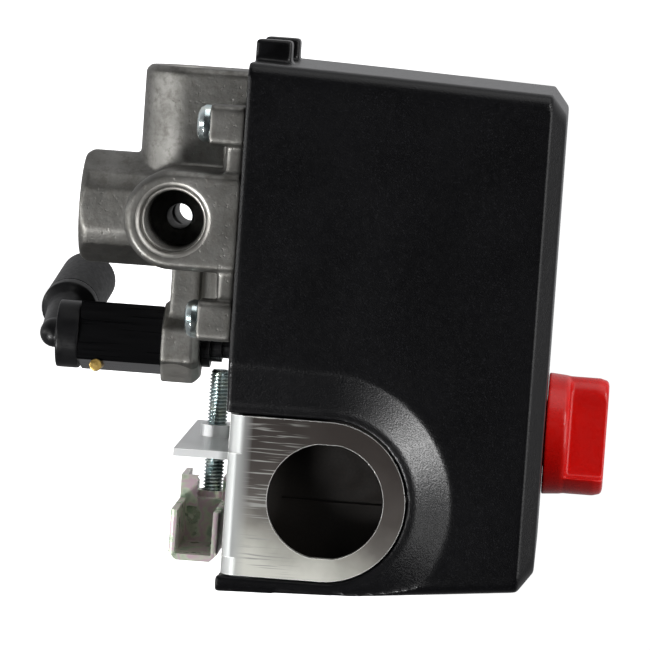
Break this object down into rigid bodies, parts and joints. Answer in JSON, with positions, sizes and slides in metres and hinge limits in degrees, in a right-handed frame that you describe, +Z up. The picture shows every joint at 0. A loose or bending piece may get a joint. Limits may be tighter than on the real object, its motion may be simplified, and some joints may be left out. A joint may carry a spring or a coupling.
{
  "type": "pressure switch",
  "caption": "Compressor pressure switch: die-cast manifold with threaded ports, black cover, red auto/off knob, steel cable ears, cable clamp and unloader valve with swivel elbow.",
  "frame": {"origin": "centre of the tank port's mouth, on the lower face of the hexagonal boss", "axes": "+Z up the tank port's axis to the knob, +X towards the cable entries, +Y towards the back"},
  "size_m": [0.1051, 0.0656, 0.1137],
  "materials": {
    "cast_alloy": "as cast, matt with machined port mouths",
    "zinc_steel": "bright zinc plate",
    "zinc_screw": "blue-passivated zinc",
    "strap_zinc": "iridescent passivated zinc",
    "black_cover": "fine-grained satin",
    "red_knob": "glossy",
    "black_metal": "black anodised, satin",
    "black_plastic": "moulded, semi-gloss",
    "grey_plastic": "moulded, satin",
    "brass": "turned",
    "contact_metal": "bright",
    "rubber": "matt",
    "phenolic": "moulded phenolic",
    "acetal": "natural, satin",
    "spring_steel": "oiled spring wire",
    "earth_green": "green-coated steel"
  },
  "bodies": {
    "frame": {"manifold": "cast_alloy", "flange_screws": "zinc_screw", "diaphragm": "rubber", "base_plate": "zinc_steel", "bracket": "zinc_steel", "bracket_rivets": "zinc_steel", "pivot_pin": "zinc_steel", "contact_block": "phenolic", "block_screws": "zinc_screw", "fixed_contacts": "contact_metal", "terminal_clamps": "zinc_steel", "terminal_screws": "zinc_screw", "off_lever_pin": "zinc_steel", "earth_screw": "earth_green", "unloader_body": "black_metal", "unloader_nut": "black_metal", "elbow_pin": "brass", "range_spring": "spring_steel", "unloader_spring": "spring_steel"},
    "piston": {"piston": "acetal"},
    "rocker": {"main_lever": "zinc_steel", "spring_cup": "zinc_steel"},
    "contacts": {"contact_carrier": "acetal", "contact_bridges": "contact_metal", "contact_springs": "spring_steel"},
    "plunger": {"unloader_plunger": "brass", "plunger_seal": "rubber"},
    "range_seat": {"spring_seat": "zinc_steel"},
    "range_screw": {"adjusting_screw": "zinc_screw"},
    "off_lever": {"off_lever": "zinc_steel"},
    "cover": {"cover": "black_cover", "cover_screw": "zinc_screw"},
    "knob": {"knob": "red_knob", "knob_retainer": "acetal"},
    "elbow": {"elbow": "black_plastic", "elbow_seal": "rubber", "elbow_sleeve": "grey_plastic"},
    "clamp": {"clamp_strap": "strap_zinc"},
    "clamp_screw": {"clamp_screw": "zinc_screw"}
  },
  "joints": [
    {"name": "rocker_tilt", "type": "hinge", "parent": "frame", "child": "rocker", "pos_m": [-0.02, 0, 0.042], "axis": [0, -1, 0], "range_deg": [0, 2.29]},
    {"name": "piston_slide", "type": "slide", "parent": "frame", "child": "piston", "axis": [0, 0, 1], "range_m": [0, 0.0008]},
    {"name": "contact_slide", "type": "slide", "parent": "frame", "child": "contacts", "axis": [0, 0, 1], "range_m": [0, 0.00264]},
    {"name": "plunger_slide", "type": "slide", "parent": "frame", "child": "plunger", "axis": [0, 0, 1], "range_m": [0, 0.00182], "deforming": ["unloader_spring"]},
    {"name": "range_adjust", "type": "slide", "parent": "frame", "child": "range_seat", "axis": [0, 0, -1], "range_m": [0, 0.0029], "deforming": ["range_spring"]},
    {"name": "range_screw_turn", "type": "hinge", "parent": "range_seat", "child": "range_screw", "pos_m": [0, 0, 0.08], "axis": [0, 0, -1], "range_deg": [0, 1045]},
    {"name": "knob_turn", "type": "hinge", "parent": "cover", "child": "knob", "pos_m": [0.038, 0, 0.093], "axis": [0, 0, 1], "range_deg": [0, 90]},
    {"name": "off_lever_tilt", "type": "hinge", "parent": "frame", "child": "off_lever", "pos_m": [0.03, 0, 0.044], "axis": [0, -1, 0], "range_deg": [0, 18.01]},
    {"name": "cover_lift", "type": "slide", "parent": "frame", "child": "cover", "axis": [0, 0, 1], "range_m": [0, 0.07]},
    {"name": "elbow_swivel", "type": "hinge", "parent": "frame", "child": "elbow", "pos_m": [0.0255, 0, 0], "axis": [0, 0, 1], "range_deg": [-225, 30]},
    {"name": "clamp_slide", "type": "slide", "parent": "frame", "child": "clamp", "axis": [-1, 0, 0], "range_m": [-0.008, 0.001]},
    {"name": "clamp_screw_turn", "type": "hinge", "parent": "clamp", "child": "clamp_screw", "pos_m": [0.06, 0, 0.0289], "axis": [-1, 0, 0], "range_deg": [-4116, 516]}
  ],
  "couplings": [
    {"joint": "piston_slide", "follows": "rocker_tilt", "m_per_rad": 0.02},
    {"joint": "contact_slide", "follows": "rocker_tilt", "m_per_rad": 0.066},
    {"joint": "plunger_slide", "follows": "rocker_tilt", "m_per_rad": 0.0455},
    {"joint": "range_screw_turn", "follows": "range_adjust", "rad_per_m": 6283.2},
    {"joint": "off_lever_tilt", "follows": "knob_turn", "ratio": 0.2},
    {"joint": "clamp_screw_turn", "follows": "clamp_slide", "rad_per_m": 8976}
  ]
}
